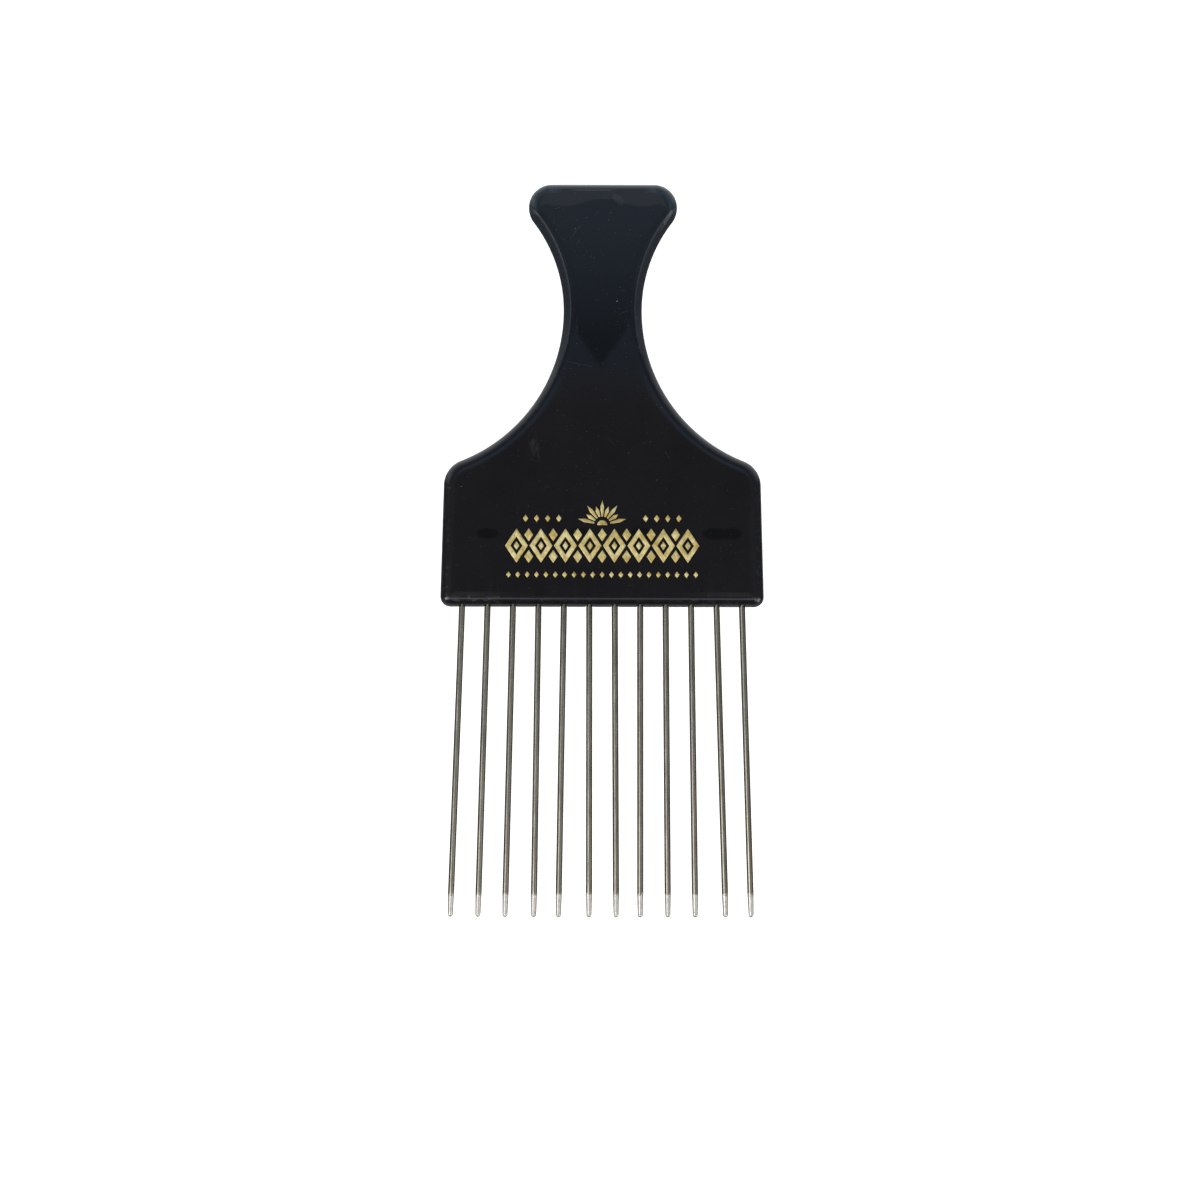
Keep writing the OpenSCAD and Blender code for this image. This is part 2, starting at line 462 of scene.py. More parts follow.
def inside_side(distance, height):
    """A point at a distance inside the right-hand side, at a height above the toothed edge."""
    across = EDGE_WIDTH / 2 - height * math.tan(SIDE_TAPER) - distance / math.cos(SIDE_TAPER)
    return Vector((across, height))


def waist_radius(corner, radius):
    """Radius of the arc that is level with the axis at the neck and touches a corner's circle."""
    across = NECK_WIDTH / 2 - corner.x
    along = NECK_HEIGHT - corner.y
    return (across * across + along * along - radius * radius) / (2 * (radius - across))


def bearing(start, end):
    return math.degrees(math.atan2(end.y - start.y, end.x - start.x))


def waist():
    """Centres of the shoulder and of the butt's corner, and radii of the two arcs between them."""
    shoulder = inside_side(SHOULDER_RADIUS, SHOULDER_HEIGHT)
    butt = Vector((BUTT_WIDTH / 2 - BUTT_RADIUS, HANDLE_LENGTH - BUTT_RADIUS))
    return shoulder, butt, waist_radius(shoulder, SHOULDER_RADIUS), waist_radius(butt, BUTT_RADIUS)


def right_side(inset):
    """Right-hand outline, drawn in by an inset, from the toothed edge up to the butt."""
    reach = max(CORNER_RADIUS, inset + LEAST_CORNER)
    corner = inside_side(reach, reach)
    shoulder, butt, lower_radius, upper_radius = waist()
    lower = Vector((NECK_WIDTH / 2 + lower_radius, NECK_HEIGHT))
    upper = Vector((NECK_WIDTH / 2 + upper_radius, NECK_HEIGHT))
    taper = math.degrees(SIDE_TAPER)
    lower_turn = bearing(shoulder, lower)
    upper_turn = bearing(butt, upper)
    first = arc(corner, reach - inset, -90, taper, CORNER_STEP)
    second = arc(shoulder, SHOULDER_RADIUS - inset, taper, lower_turn, ROUND_STEP)
    steps = math.ceil(SHOULDER_HEIGHT / SIDE_STEP)
    side = [first[-1].lerp(second[0], k / steps) for k in range(1, steps)]
    return (
        first + side + second
        + arc(lower, lower_radius + inset, lower_turn + 180, 180, LONG_STEP)[1:]
        + arc(upper, upper_radius + inset, 180, upper_turn + 180, LONG_STEP)[1:]
        + arc(butt, BUTT_RADIUS - inset, upper_turn, 90, ROUND_STEP)[1:]
    )


def rim_profile():
    """Inset and height of each ring, from inside the back face round the rim to the front face."""
    flat = [(RIM_RADIUS + inside, 0.0) for inside in FACE_RINGS]
    quarter = []
    for k in range(RIM_STEPS + 1):
        angle = math.radians(90 * k / RIM_STEPS)
        quarter.append((RIM_RADIUS * (1 - math.sin(angle)), RIM_RADIUS * (1 - math.cos(angle))))
    back = flat + quarter
    wall = [(0.0, RIM_RADIUS + (THICKNESS - 2 * RIM_RADIUS) * k / 3) for k in (1, 2)]
    return back + wall + [(inset, THICKNESS - height) for inset, height in reversed(back)]


def relief(x, height, level, inset):
    """Depth of the unevenness at a point of a face, in metres."""
    wave = WAVE_DEPTH * (1 + math.sin(height / WAVE_ALONG + 0.6) * math.cos(x / WAVE_ACROSS))
    butt = math.exp(-(((HANDLE_LENGTH - height) / ROLL_REACH) ** 2))
    roll = butt * (ROLL_DEPTH - ROLL_CHANGE * math.cos(2 * math.pi * x / ROLL_PITCH))
    fall = FALL_DEPTH * math.exp(-max(0, inset - RIM_RADIUS) / FALL_REACH)
    tilt = min(1, max(0, (abs(level - THICKNESS / 2) - THICKNESS / 2 + RIM_RADIUS) / RIM_RADIUS))
    return (wave + roll + fall) * MM * tilt


def handle_shell():
    """Lofts the plate: rings of points round the rim, and a grid over each flat face."""
    profile = rim_profile()
    sides = {inset: right_side(inset) for inset, _ in profile}
    rows = len(sides[0.0])
    rim = [(0, k) for k in range(COLUMNS + 1)]
    rim += [(k, COLUMNS) for k in range(1, rows)]
    rim += [(rows - 1, k) for k in range(COLUMNS - 1, -1, -1)]
    rim += [(k, 0) for k in range(rows - 2, 0, -1)]
    mesh = bmesh.new()

    def vertex(row, column, inset, level):
        edge = sides[inset][row]
        x = edge.x * (2 * column / COLUMNS - 1)
        depth = relief(x, edge.y, level, inset)
        level += depth if level < THICKNESS / 2 else -depth
        return mesh.verts.new((x, TOOTHED_EDGE + edge.y, handle_low.z + level))

    rings = [[vertex(row, column, inset, level) for row, column in rim] for inset, level in profile]
    for lower, upper in zip(rings, rings[1:]):
        band(mesh, lower, upper)
    for ring, (inset, level) in ((rings[0], profile[0]), (rings[-1], profile[-1])):
        grid = dict(zip(rim, ring))
        for row in range(1, rows - 1):
            for column in range(1, COLUMNS):
                grid[row, column] = vertex(row, column, inset, level)
        for row in range(rows - 1):
            for column in range(COLUMNS):
                near, far = (row, column), (row + 1, column + 1)
                corners = near, (row, column + 1), far, (row + 1, column)
                mesh.faces.new([grid[corner] for corner in corners])
    return to_object("handle_shell", mesh)


def to_object(name, mesh):
    """Makes an object of a bmesh, with its faces pointing out."""
    bmesh.ops.recalc_face_normals(mesh, faces=mesh.faces)
    data = bpy.data.meshes.new(name)
    mesh.to_mesh(data)
    mesh.free()
    made = bpy.data.objects.new(name, data)
    bpy.context.collection.objects.link(made)
    return made


def tooth_root(i):
    pitch = (EDGE_WIDTH - 2 * END_MARGIN) / (TEETH - 1)
    return Vector(((i - (TEETH - 1) / 2) * pitch, TOOTHED_EDGE, MIDDLE))


def tooth_node(i):
    return f"tooth_{i + 1:02d}"


def tooth_lean(i):
    """Angle of a tooth to the handle's axis: its place in the fan, and its own bend from use."""
    return math.radians((i - (TEETH - 1) / 2) * FAN_STEP + OWN_LEAN[i])


def loop_at(mesh, loop, level):
    """Adds the points of a loop to a mesh, at one level."""
    return [mesh.verts.new((p[0], p[1], level)) for p in loop]


def band(mesh, first, second):
    """Adds the faces between two closed loops of vertices."""
    for k in range(len(first)):
        after = (k + 1) % len(first)
        mesh.faces.new((first[k], first[after], second[after], second[k]))


def prism(mesh, loop, low, high):
    """Adds a straight prism over a closed loop of points."""
    bottom = loop_at(mesh, loop, low)
    top = loop_at(mesh, loop, high)
    mesh.faces.new(bottom[::-1])
    mesh.faces.new(top)
    band(mesh, bottom, top)


def root_cutters():
    """Cutters for the sockets, the anchor pockets and the scallops, one mesh for each kind."""
    bores, pockets, scallops = bmesh.new(), bmesh.new(), bmesh.new()
    bore_radius = WIRE_RADIUS + SOCKET_CLEARANCE
    depth = BURIED - ANCHOR_LENGTH / 2
    middle = Matrix.Translation((0, (depth - PAST) / 2, 0))
    along = Matrix.Rotation(math.radians(90), 4, "X")
    anchor = (ANCHOR_WIDTH, ANCHOR_LENGTH, ANCHOR_THICKNESS)
    size = Matrix.Diagonal([side + 2 * SOCKET_CLEARANCE for side in anchor] + [1])
    pocket = Matrix.Translation((0, depth, 0))
    scallop = Matrix.Translation((0, SCALLOP_DEPTH - SCALLOP_RADIUS, 0))
    scallop = scallop @ Matrix.Rotation(SCALLOP_TURN, 4, "Z")
    for i in range(TEETH):
        here = Matrix.Translation(tooth_root(i)) @ Matrix.Rotation(tooth_lean(i), 4, "Z")
        bmesh.ops.create_cone(
            bores, cap_ends=True, segments=BORE_FACETS, radius1=bore_radius,
            radius2=bore_radius, depth=depth + PAST, matrix=here @ middle @ along,
        )
        bmesh.ops.create_cube(pockets, size=1, matrix=here @ pocket @ size)
        bmesh.ops.create_cone(
            scallops, cap_ends=True, segments=SCALLOP_FACETS, radius1=SCALLOP_RADIUS,
            radius2=SCALLOP_RADIUS, depth=THICKNESS + 2 * PAST, matrix=here @ scallop,
        )
    return [
        to_object("socket_bores", bores),
        to_object("anchor_pockets", pockets),
        to_object("clamp_scallops", scallops),
    ]


def plain(made, name):
    """Turns an object and its modifiers into a plain mesh."""
    depsgraph = bpy.context.evaluated_depsgraph_get()
    data = bpy.data.meshes.new_from_object(made.evaluated_get(depsgraph))
    made.modifiers.clear()
    old = made.data
    made.data = data
    bpy.data.meshes.remove(old)
    made.name = name
    data.name = name
    return made


def smooth(made, angle):
    """Shades an object smooth, apart from the edges that turn more than an angle, in degrees."""
    for face in made.data.polygons:
        face.use_smooth = True
    made.data.set_sharp_from_angle(angle=math.radians(angle))


def coat(made, material):
    """Gives an object one material."""
    made.data.materials.clear()
    made.data.materials.append(material)


def cut(made, cutter):
    """Cuts one object out of another and deletes the cutter."""
    boolean = made.modifiers.new("cut", "BOOLEAN")
    boolean.operation = "DIFFERENCE"
    boolean.solver = "EXACT"
    boolean.object = cutter
    plain(made, made.name)
    bpy.data.objects.remove(cutter)


# The foil ornament: shapes are closed loops of points, in metres, about their own middle

# Depth of a recess, and the space round the foil in it and under it
RECESS = 0.16 * MM
FOIL_GAP = 0.03 * MM
FOIL_LIFT = 0.01 * MM
# Soft crown of the foil, in mm: inset from its edge and height over its underside
CROWN = ((0, 0.045), (0.06, 0.085), (0.16, 0.105), (0.30, 0.115))

# Heights of the rows above the toothed edge
BEAD_LINE = 7.6 * MM
BAND_LINE = 14.4 * MM
HUB_LINE = 19.2 * MM
RAY_LINE = 19.3 * MM
DOT_LINE = 20.8 * MM

LOZENGES = 8
LOZENGE_PITCH = 5.75 * MM
FRAME_WIDTH = 1.15 * MM
WEDGE_RISE = 2.55 * MM
BEADS = 21
BEAD_PITCH = 2.2 * MM
DOTS = 4
DOT_PITCH = 2.6 * MM
FIRST_DOT = 10.2 * MM
RAYS = 9
RAY_SPREAD = 76
RAY_START = 1.9 * MM
RAY_WIDTH = 1.0 * MM
LONG_RAY = 6.0 * MM
SHORT_RAY = 4.7 * MM
HUB_RADIUS = 1.25 * MM
HUB_STEPS = 12


def lozenge(half_width, half_height):
    return [(half_width, 0), (0, half_height), (-half_width, 0), (0, -half_height)]


def offset(loop, distance):
    """The loop moved inwards by a distance, with sharp corners. The loop runs counterclockwise."""
    points = [Vector(p) for p in loop]
    made = []
    for k, here in enumerate(points):
        before = (here - points[k - 1]).normalized()
        after = (points[(k + 1) % len(points)] - here).normalized()
        first = Vector((-before.y, before.x))
        second = Vector((-after.y, after.x))
        lean = first + second
        made.append(here + lean * (2 * distance / lean.length_squared))
    return made


def pillow(mesh, outer, inner=None):
    """Adds a stamped shape: a closed body with a soft crown over a loop, or between two loops."""
    low = FACE - RECESS + FOIL_LIFT
    loops = [loop_at(mesh, offset(outer, FOIL_GAP), low)]
    for inset, height in CROWN:
        ring = offset(outer, FOIL_GAP + inset * MM)
        loops.append(loop_at(mesh, ring, low + height * MM))
    if inner is not None:
        for inset, height in reversed(CROWN):
            ring = offset(inner, -FOIL_GAP - inset * MM)
            loops.append(loop_at(mesh, ring, low + height * MM))
        loops.append(loop_at(mesh, offset(inner, -FOIL_GAP), low))
    for first, second in zip(loops, loops[1:]):
        band(mesh, first, second)
    if inner is not None:
        band(mesh, loops[-1], loops[0])
    else:
        mesh.faces.new(loops[0][::-1])
        mesh.faces.new(loops[-1])


def recess(mesh, outer, inner=None):
    """Adds the cutter for a stamped shape."""
    low, high = FACE - RECESS, FACE + PAST
    if inner is None:
        prism(mesh, outer, low, high)
        return
    out_low, out_high, in_low, in_high = [
        loop_at(mesh, loop, level) for loop in (outer, inner) for level in (low, high)
    ]
    for first, second in (
        (out_low, out_high), (out_high, in_high), (in_high, in_low), (in_low, out_low),
    ):
        band(mesh, first, second)


def moved(loop, x, y, turn=0.0):
    c, s = math.cos(turn), math.sin(turn)
    return [(x + px * c - py * s, y + px * s + py * c) for px, py in loop]


def ray(start, end, width):
    """A pointed ray along +Y, widest a little over halfway."""
    wide = width / 2
    narrow = wide * 0.45
    widest = start + (end - start) * 0.55
    return [(narrow, start), (wide, widest), (0, end), (-wide, widest), (-narrow, start)]


def new_tree(name, inputs):
    """Geometry nodes with the given inputs: the tree, its given values, and where it ends."""
    tree = bpy.data.node_groups.new(name, "GeometryNodeTree")
    sockets = tree.interface
    sockets.new_socket(name="Geometry", in_out="INPUT", socket_type="NodeSocketGeometry")
    for label, kind in inputs:
        sockets.new_socket(name=label, in_out="INPUT", socket_type=f"NodeSocket{kind}")
    sockets.new_socket(name="Geometry", in_out="OUTPUT", socket_type="NodeSocketGeometry")
    given = tree.nodes.new("NodeGroupInput").outputs
    return tree, given, tree.nodes.new("NodeGroupOutput").inputs["Geometry"]


def row_tree():
    """Repeats one motif along a row, with its number, pitch and first place as inputs."""
    tree, given, result = new_tree("motif_row", (
        ("Motif", "Object"), ("Number", "Int"), ("Start", "Vector"), ("Pitch", "Vector"),
        ("Foil", "Material"),
    ))
    line = tree.nodes.new("GeometryNodeMeshLine")
    line.mode = "OFFSET"
    motif = tree.nodes.new("GeometryNodeObjectInfo")
    copies = tree.nodes.new("GeometryNodeInstanceOnPoints")
    real = tree.nodes.new("GeometryNodeRealizeInstances")
    paint = tree.nodes.new("GeometryNodeSetMaterial")
    for value, socket in (
        (given["Number"], line.inputs["Count"]),
        (given["Start"], line.inputs["Start Location"]),
        (given["Pitch"], line.inputs["Offset"]),
        (given["Motif"], motif.inputs["Object"]),
        (line.outputs["Mesh"], copies.inputs["Points"]),
        (motif.outputs["Geometry"], copies.inputs["Instance"]),
        (copies.outputs["Instances"], real.inputs["Geometry"]),
        (real.outputs["Geometry"], paint.inputs["Geometry"]),
        (given["Foil"], paint.inputs["Material"]),
        (paint.outputs["Geometry"], result),
    ):
        tree.links.new(value, socket)
    return tree


def with_nodes(name, tree, values):
    """A plain mesh made by a node tree from named values."""
    made = to_object(name, bmesh.new())
    modifier = made.modifiers.new("nodes", "NODES")
    modifier.node_group = tree
    for item in tree.interface.items_tree:
        if item.item_type == "SOCKET" and item.in_out == "INPUT" and item.name in values:
            modifier[item.identifier] = values[item.name]
    return plain(made, name)


def join(name, parts):
    """One object of several, with its place in its mesh."""
    mesh = bmesh.new()
    for part in parts:
        mesh.from_mesh(part.data)
        bpy.data.objects.remove(part)
    return to_object(name, mesh)


def ornament_row(tree, name, shapes, number, pitch, start, foil):
    """A row of one motif, as foil and as the cutter for its recesses."""
    made = []
    for label, add in (("foil", pillow), ("recess", recess)):
        mesh = bmesh.new()
        for shape in shapes:
            add(mesh, *shape)
        motif = to_object(f"{name}_motif", mesh)
        made.append(with_nodes(f"{name}_{label}", tree, {
            "Motif": motif, "Number": number, "Start": start, "Pitch": (pitch, 0, 0), "Foil": foil,
        }))
        bpy.data.objects.remove(motif)
    return made


def crest():
    """A fan of rays round half a disc, as foil and as the cutter for its recesses."""
    shapes = []
    for k in range(RAYS):
        turn = math.radians(-RAY_SPREAD + 2 * RAY_SPREAD * k / (RAYS - 1))
        end = LONG_RAY if k % 2 == 0 else SHORT_RAY
        loop = ray(RAY_START, end, RAY_WIDTH)
        shapes.append(moved(loop, 0, TOOTHED_EDGE + RAY_LINE, turn))
    angles = [math.pi * k / HUB_STEPS for k in range(HUB_STEPS + 1)]
    hub = [(HUB_RADIUS * math.cos(angle), HUB_RADIUS * math.sin(angle)) for angle in angles]
    shapes.append(moved(hub, 0, TOOTHED_EDGE + HUB_LINE))
    made = []
    for label, add in (("foil", pillow), ("recess", recess)):
        mesh = bmesh.new()
        for shape in shapes:
            add(mesh, shape)
        made.append(to_object(f"crest_{label}", mesh))
    return made


def ornament(foil):
    """A band of lozenges under a crest of rays and two runs of dots, and over a run of beads."""
    tree = row_tree()
    outer = lozenge(2.75 * MM, 4.1 * MM)
    core = lozenge(0.72 * MM, 1.1 * MM)
    wedge = lozenge(1.1 * MM, 1.6 * MM)
    bead = lozenge(0.62 * MM, 0.85 * MM)
    dot = lozenge(0.68 * MM, 0.95 * MM)
    lozenges = ((outer, offset(outer, FRAME_WIDTH)), (core,))
    wedges = ((moved(wedge, 0, WEDGE_RISE),), (moved(wedge, 0, -WEDGE_RISE),))
    rows = []
    for name, shapes, number, pitch, line in (
        ("lozenges", lozenges, LOZENGES, LOZENGE_PITCH, BAND_LINE),
        ("wedges", wedges, LOZENGES - 1, LOZENGE_PITCH, BAND_LINE),
        ("beads", ((bead,),), BEADS, BEAD_PITCH, BEAD_LINE),
    ):
        start = (-pitch * (number - 1) / 2, TOOTHED_EDGE + line, 0)
        rows.append(ornament_row(tree, name, shapes, number, pitch, start, foil))
    for side in (-1, 1):
        start = (side * FIRST_DOT, TOOTHED_EDGE + DOT_LINE, 0)
        rows.append(ornament_row(tree, "dots", ((dot,),), DOTS, side * DOT_PITCH, start, foil))
    rows.append(crest())
    foils = join("foil_ornament", [row[0] for row in rows])
    recesses = join("ornament_recesses", [row[1] for row in rows])
    return foils, recesses


# The teeth

# Rings along a tooth, how they crowd towards its tip, and facets round it
RINGS = 131
CROWDING = 2.2
FACETS = 36
LEAST_RADIUS = 0.04 * MM
# Where the wire starts and ends to flatten into its anchor
FLAT_START = BURIED - ANCHOR_LENGTH - 0.2 * MM
FLAT_END = BURIED - ANCHOR_LENGTH + 0.8 * MM
# Length over which the grind of the tip fades out
GRIND_FADE = 1.2 * MM
# Unevenness of a wire's surface: scale of its grain, the level of it that moves nothing, its depth
# on the drawn wire, and what the ground tip adds
GRAIN_SCALE = 900.0
GRAIN_LEVEL = 0.62
WIRE_GRAIN = 0.010 * MM
TIP_GRAIN = 0.055 * MM


def tooth_tree():
    """One wire tooth about its own root: a bar along -Y with a flattened end and a ground tip."""
    tree, given, result = new_tree("wire_tooth", (
        ("Reach", "Float"), ("Buried", "Float"), ("Wire radius", "Float"), ("Tip radius", "Float"),
        ("Taper", "Float"), ("Root", "Vector"), ("Lean", "Float"), ("Seed", "Float"),
        ("Steel", "Material"),
    ))
    nodes, links = tree.nodes, tree.links

    def node(kind, **settings):
        made = nodes.new(kind)
        for key, value in settings.items():
            setattr(made, key, value)
        return made

    def feed(socket, value):
        if isinstance(value, bpy.types.NodeSocket):
            links.new(value, socket)
        else:
            socket.default_value = value

    def maths(operation, *values):
        made = node("ShaderNodeMath", operation=operation)
        for socket, value in zip(made.inputs, values):
            feed(socket, value)
        return made.outputs[0]

    def vector(x, y, z):
        made = node("ShaderNodeCombineXYZ")
        for socket, value in zip(made.inputs, (x, y, z)):
            feed(socket, value)
        return made.outputs[0]

    def part(value, axis):
        made = node("ShaderNodeSeparateXYZ")
        feed(made.inputs[0], value)
        return made.outputs[axis]

    line = node("GeometryNodeCurvePrimitiveLine")
    feed(line.inputs["End"], (0, 1, 0))
    points = node("GeometryNodeResampleCurve")
    feed(points.inputs["Curve"], line.outputs["Curve"])
    feed(points.inputs["Count"], RINGS)
    share = maths("DIVIDE", node("GeometryNodeInputIndex").outputs[0], float(RINGS - 1))
    length = maths("ADD", given["Reach"], given["Buried"])
    back = maths("MULTIPLY", length, maths("POWER", share, CROWDING))
    spread = node("GeometryNodeSetPosition")
    feed(spread.inputs["Geometry"], points.outputs["Curve"])
    feed(spread.inputs["Position"], vector(0, maths("SUBTRACT", back, given["Reach"]), 0))
    tip = given["Tip radius"]
    round_end = maths("MINIMUM", back, tip)
    behind = maths("SUBTRACT", tip, round_end)
    nose = maths("SUBTRACT", maths("MULTIPLY", tip, tip), maths("MULTIPLY", behind, behind))
    nose = maths("SQRT", maths("MAXIMUM", nose, 0.0))
    past = maths("DIVIDE", maths("SUBTRACT", back, tip), maths("SUBTRACT", given["Taper"], tip))
    past = maths("MINIMUM", maths("MAXIMUM", past, 0.0), 1.0)
    swell = maths("MULTIPLY", maths("SUBTRACT", given["Wire radius"], tip), past)
    ring = node("GeometryNodeCurvePrimitiveCircle")
    feed(ring.inputs["Resolution"], FACETS)
    feed(ring.inputs["Radius"], 1.0)
    bar = node("GeometryNodeCurveToMesh")
    feed(bar.inputs["Curve"], spread.outputs["Geometry"])
    feed(bar.inputs["Profile Curve"], ring.outputs["Curve"])
    feed(bar.inputs["Scale"], maths("MAXIMUM", maths("ADD", nose, swell), LEAST_RADIUS))
    feed(bar.inputs["Fill Caps"], True)

    here = node("GeometryNodeInputPosition").outputs[0]
    squeeze = node("ShaderNodeMapRange", interpolation_type="SMOOTHSTEP")
    feed(squeeze.inputs["Value"], part(here, 1))
    feed(squeeze.inputs["From Min"], FLAT_START)
    feed(squeeze.inputs["From Max"], FLAT_END)
    amount = squeeze.outputs["Result"]
    wider = maths("ADD", 1.0, maths("MULTIPLY", amount, ANCHOR_WIDTH / (2 * WIRE_RADIUS) - 1))
    thinner = maths("ADD", 1.0, maths("MULTIPLY", amount, ANCHOR_THICKNESS / (2 * WIRE_RADIUS) - 1))
    grain = node("ShaderNodeTexNoise", noise_dimensions="4D")
    feed(grain.inputs["Vector"], here)
    feed(grain.inputs["W"], given["Seed"])
    feed(grain.inputs["Scale"], GRAIN_SCALE)
    feed(grain.inputs["Detail"], 2.0)
    in_tip = node("ShaderNodeMapRange")
    feed(in_tip.inputs["Value"], maths("ADD", part(here, 1), given["Reach"]))
    feed(in_tip.inputs["From Min"], TAPER)
    feed(in_tip.inputs["From Max"], TAPER - GRIND_FADE)
    rough = maths("ADD", WIRE_GRAIN, maths("MULTIPLY", in_tip.outputs["Result"], TIP_GRAIN))
    push = maths("MULTIPLY", maths("SUBTRACT", grain.outputs[0], GRAIN_LEVEL), rough)
    normal = node("GeometryNodeInputNormal").outputs[0]
    out = node("ShaderNodeVectorMath", operation="SCALE")
    feed(out.inputs[0], normal)
    feed(out.inputs["Scale"], push)
    shape = node("GeometryNodeSetPosition")
    feed(shape.inputs["Geometry"], bar.outputs["Mesh"])
    across = maths("MULTIPLY", part(here, 0), wider)
    through = maths("MULTIPLY", part(here, 2), thinner)
    feed(shape.inputs["Position"], vector(across, part(here, 1), through))
    feed(shape.inputs["Offset"], out.outputs[0])
    turned = node("GeometryNodeTransform")
    feed(turned.inputs["Geometry"], shape.outputs["Geometry"])
    feed(turned.inputs["Translation"], given["Root"])
    feed(turned.inputs["Rotation"], vector(0.0, 0.0, given["Lean"]))
    soft = node("GeometryNodeSetShadeSmooth")
    feed(soft.inputs["Geometry"], turned.outputs["Geometry"])
    real = node("GeometryNodeRealizeInstances")
    feed(real.inputs["Geometry"], soft.outputs["Geometry"])
    paint = node("GeometryNodeSetMaterial")
    feed(paint.inputs["Geometry"], real.outputs["Geometry"])
    feed(paint.inputs["Material"], given["Steel"])
    links.new(paint.outputs["Geometry"], result)
    return tree


def make_teeth(steel):
    tree = tooth_tree()
    for i in range(TEETH):
        made = with_nodes(f"wire_{tooth_node(i)}", tree, {
            "Reach": REACH, "Buried": BURIED, "Wire radius": WIRE_RADIUS, "Tip radius": TIP_RADIUS,
            "Taper": TAPER, "Root": tooth_root(i), "Lean": tooth_lean(i), "Seed": 3.7 * i,
            "Steel": steel,
        })
        smooth(made, 50)
        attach(made, "root")
        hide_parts(tooth_node(i))


# The stage

PIXEL = 0.2358 * MM
LENS = 85.0
SENSOR = 36.0
PHOTO_SIDE = 1200
PHOTO_AXIS = 602.05
PHOTO_EDGE = 607.0
ROLL = math.radians(0.13)

# Two soft lights: distance, side and power
LAMP_DISTANCE = 1.2
LAMP_SIDE = 0.4
LAMP_POWER = 0.3
# Bright boxes of the surroundings: azimuth and elevation, where the fade starts and ends across
# and along, all in degrees, and strength
BOXES = (
    (205, 42, (6, 17), (9, 24), 4.3),
    (201, 64, (3, 8), (6, 12), 2.3),
    (232, 66, (6, 14), (8, 21), 1.25),
    (-32, 27, (6, 26), (10, 32), 3.0),
    (-52, 62, (6, 14), (8, 22), 1.7),
    (160, 22, (6, 16), (16, 34), 0.42),
)


def camera():
    """Looks straight down on the comb, framed as in the photograph."""
    data = bpy.data.cameras.new("camera")
    data.lens = LENS
    data.sensor_width = SENSOR
    distance = PHOTO_SIDE * PIXEL * LENS / SENSOR
    made = bpy.data.objects.new("camera", data)
    bpy.context.collection.objects.link(made)
    made.location = (
        (PHOTO_SIDE / 2 - PHOTO_AXIS) * PIXEL,
        TOOTHED_EDGE + (PHOTO_EDGE - PHOTO_SIDE / 2) * PIXEL,
        MIDDLE + distance,
    )
    made.rotation_euler = (0, 0, ROLL)
    data.clip_start = 0.01
    data.clip_end = 20
    bpy.context.scene.camera = made


def floor():
    mesh = bmesh.new()
    bmesh.ops.create_grid(mesh, x_segments=1, y_segments=1, size=1.5)
    made = to_object("floor", mesh)
    made.location.z = -0.2 * MM
    made.visible_glossy = False
    m = finish("pale_floor")
    made.data.materials.append(m.surface(
        Base_Color=colour(0.8, 0.8, 0.8), Roughness=0.9,
        Emission_Color=colour(1, 1, 1), Emission_Strength=0.8,
    ))


def direction(azimuth, elevation):
    """A way to look, in degrees. Azimuth 0 is +X and 90 is +Y."""
    a, e = math.radians(azimuth), math.radians(elevation)
    return Vector((math.cos(a) * math.cos(e), math.sin(a) * math.cos(e), math.sin(e)))


def softbox(name, azimuth, elevation):
    """A soft light that faces the comb."""
    data = bpy.data.lights.new(name, "AREA")
    data.shape = "RECTANGLE"
    data.size = LAMP_SIDE
    data.size_y = LAMP_SIDE
    data.energy = LAMP_POWER
    made = bpy.data.objects.new(name, data)
    bpy.context.collection.objects.link(made)
    away = direction(azimuth, elevation)
    made.location = away * LAMP_DISTANCE
    made.rotation_mode = "QUATERNION"
    made.rotation_quaternion = away.to_track_quat("Z", "Y")
    return made


def glow_box(w, way, azimuth, elevation, across, along):
    """A soft-edged bright box of the surroundings. Each reach is where its fade starts and ends."""
    centre = direction(azimuth, elevation)
    level = direction(azimuth + 90, 0)
    dot = {"operation": "DOT_PRODUCT"}
    shape = w("ShaderNodeVectorMath", dot, way, centre, out=1).ramp(0.0, 0.2)
    for axis, reach in ((level, across), (centre.cross(level), along)):
        aside = w("ShaderNodeVectorMath", dot, way, axis, out=1).size()
        full, none = (math.sin(math.radians(angle)) for angle in reach)
        shape = shape * aside.ramp(none, full)
    return shape


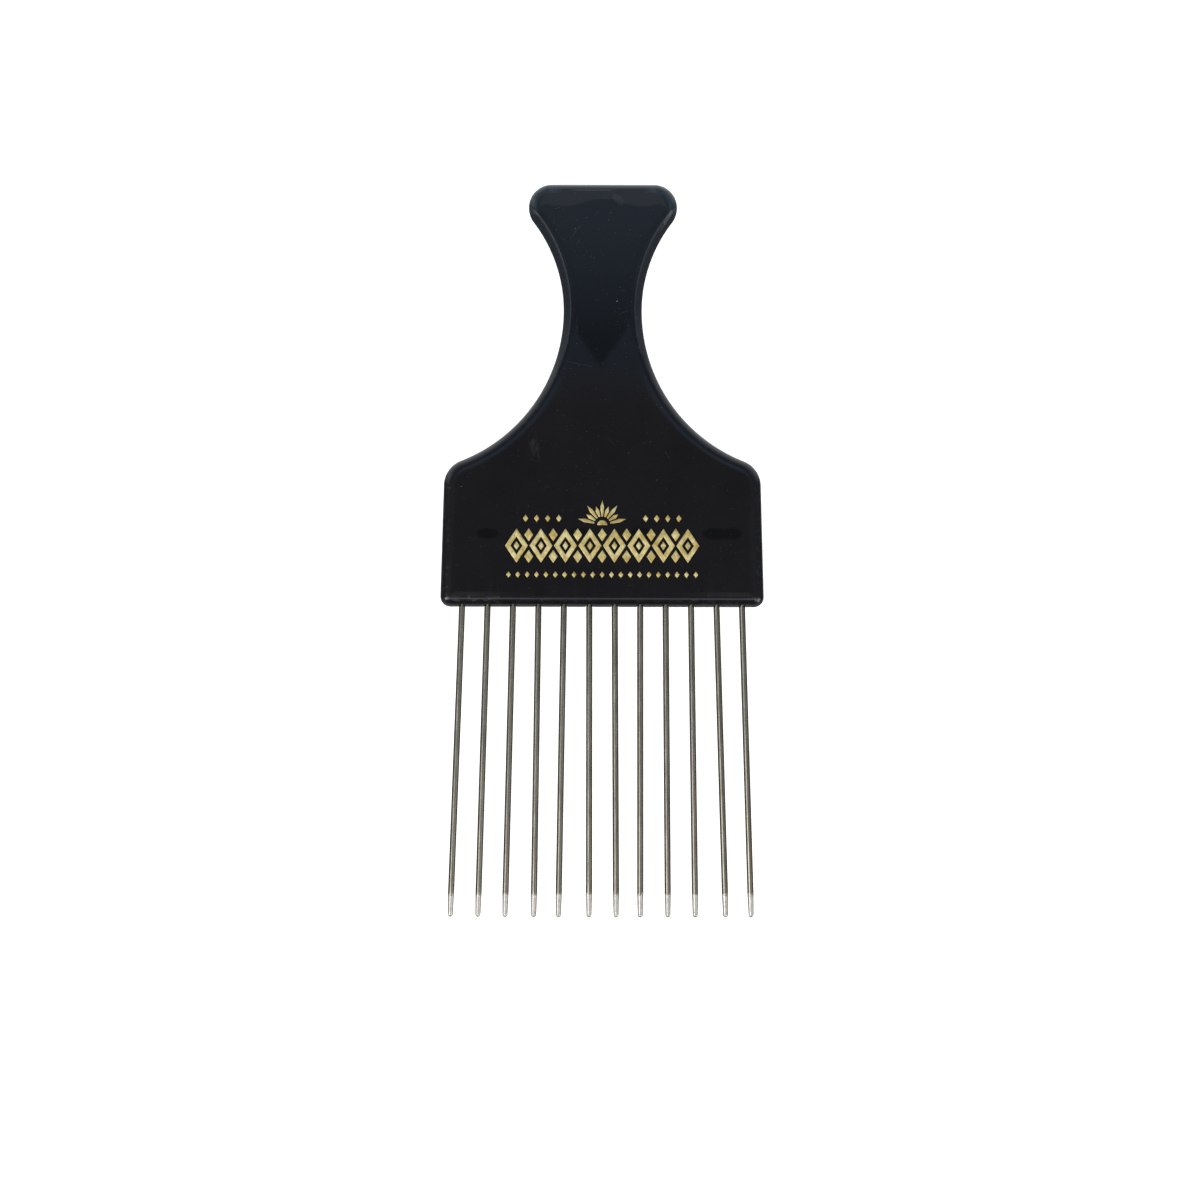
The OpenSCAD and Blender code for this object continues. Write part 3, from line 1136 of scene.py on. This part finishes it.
def studio():
    """A dim room: a sweep lighter behind the butt, low walls, a strip over the teeth, and boxes."""
    world = bpy.data.worlds.new("studio")
    bpy.context.scene.world = world
    w = Finish(world)
    way = w("ShaderNodeTexCoord", {}, out="Generated")
    x, y, z = w.part(way, 0), w.part(way, 1), w.part(way, 2)
    sideways = x.size()
    straight = sideways.ramp(0.17, 0.09)
    notch = (y - sideways.least(0.012) * 1.47).ramp(0.079, 0.083)
    arms = (y.ramp(0.066, 0.090, 0, 0.16) - y.ramp(0.090, 0.105, 0, 0.12)) * (1 - notch)
    to_butt = y.ramp(0.088, 0.110, 0, 0.13) + y.ramp(0.105, 0.137, 0, 0.16)
    sweep = y.ramp(0.045, 0.078, 0.155, 0.185) + (arms + to_butt) * straight
    to_tips = y * -1
    sweep = to_tips.ramp(0.06, 0.17, 0, 0.14) + sweep - to_tips.ramp(0.3, 0.92, 0, 0.18)
    dip = to_tips.ramp(0.12, 0.17) * to_tips.ramp(0.4, 0.3) * sideways.ramp(0.05, 0.02)
    sweep = sweep - dip * 0.12
    strip = to_tips.ramp(0.0, 0.004) * to_tips.ramp(0.11, 0.02)
    strip = strip * sideways.ramp(0.02, 0.05) * sideways.ramp(0.8, 0.4)
    sweep = (sweep + sideways.ramp(0.03, 0.12) * 0.07) * z.ramp(0.05, -0.25, 1.0, 0.25)
    above = z.ramp(0.7, 0.2) * 0.40 + z.ramp(0.9, 0.3) * sideways.ramp(0.1, 0.4) * 0.25
    walls = y.size().ramp(0.3, 0.9) * z.ramp(0.3, -0.3) * 0.65 + y.ramp(0.1, 0.5) * above
    walls = walls + sideways.ramp(0.4, 0.8) * z.ramp(-0.3, -0.6) * 0.30
    window = y.ramp(0.1401, 0.1406) * sideways.ramp(0.07, 0.04) * 0.24
    boxes = 0.0
    for azimuth, elevation, across, along, strength in BOXES:
        boxes = glow_box(w, way, azimuth, elevation, across, along) * strength + boxes
    tint = w.mix(y.ramp(0.062, 0.092), colour(0.93, 1.0, 1.17), colour(0.75, 1.0, 1.36))
    room = w("ShaderNodeBackground", {}, tint, sweep)
    lamps = w("ShaderNodeBackground", {}, colour(1, 1, 1), walls + boxes + window + strip * 0.2)
    w("ShaderNodeOutputWorld", {}, w("ShaderNodeAddShader", {}, room, lamps))
    softbox("left_light", 205, 46)
    softbox("right_light", -32, 30)


def main():
    plastic, steel, foil = handle_plastic(), tooth_steel(), stamped_foil()
    handle = handle_shell()
    for cutter in root_cutters():
        cut(handle, cutter)
    foils, recesses = ornament(foil)
    cut(handle, recesses)
    smooth(handle, 30)
    coat(handle, plastic)
    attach(handle, "root")
    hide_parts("handle")
    smooth(foils, 60)
    coat(foils, foil)
    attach(foils, "root")
    make_teeth(steel)
    floor()
    camera()
    studio()
    bpy.context.scene.view_settings.view_transform = "Standard"


main()
